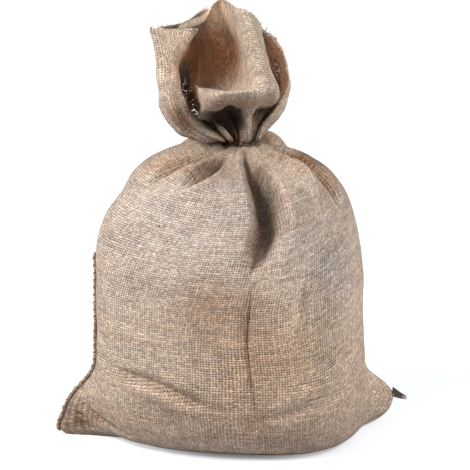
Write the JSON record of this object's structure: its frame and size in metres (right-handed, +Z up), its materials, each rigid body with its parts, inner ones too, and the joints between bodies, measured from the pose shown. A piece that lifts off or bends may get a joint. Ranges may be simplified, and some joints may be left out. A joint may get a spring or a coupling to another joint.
{
  "type": "hessian sack",
  "caption": "Filled hessian sack standing on its base, tied with twine at the neck, its gathered mouth open above the tie and its empty lower corners lying out at the sides.",
  "frame": {"origin": "on the floor, under the middle of the sack's bounding box", "axes": "+X to the sack's right as its front is looked at, -Y to the front, +Z up"},
  "size_m": [0.4786, 0.3005, 0.5852],
  "materials": {
    "hessian": "coarse plain-weave jute, matt and fuzzy",
    "seam_thread": "rope-like overcast jute thread",
    "twine": "twisted jute twine",
    "thread_ends": "frayed jute thread"
  },
  "bodies": {
    "root": {"sack": "hessian", "side_seam": "seam_thread", "neck_tie": "twine", "seam_tail": "thread_ends"}
  },
  "joints": []
}
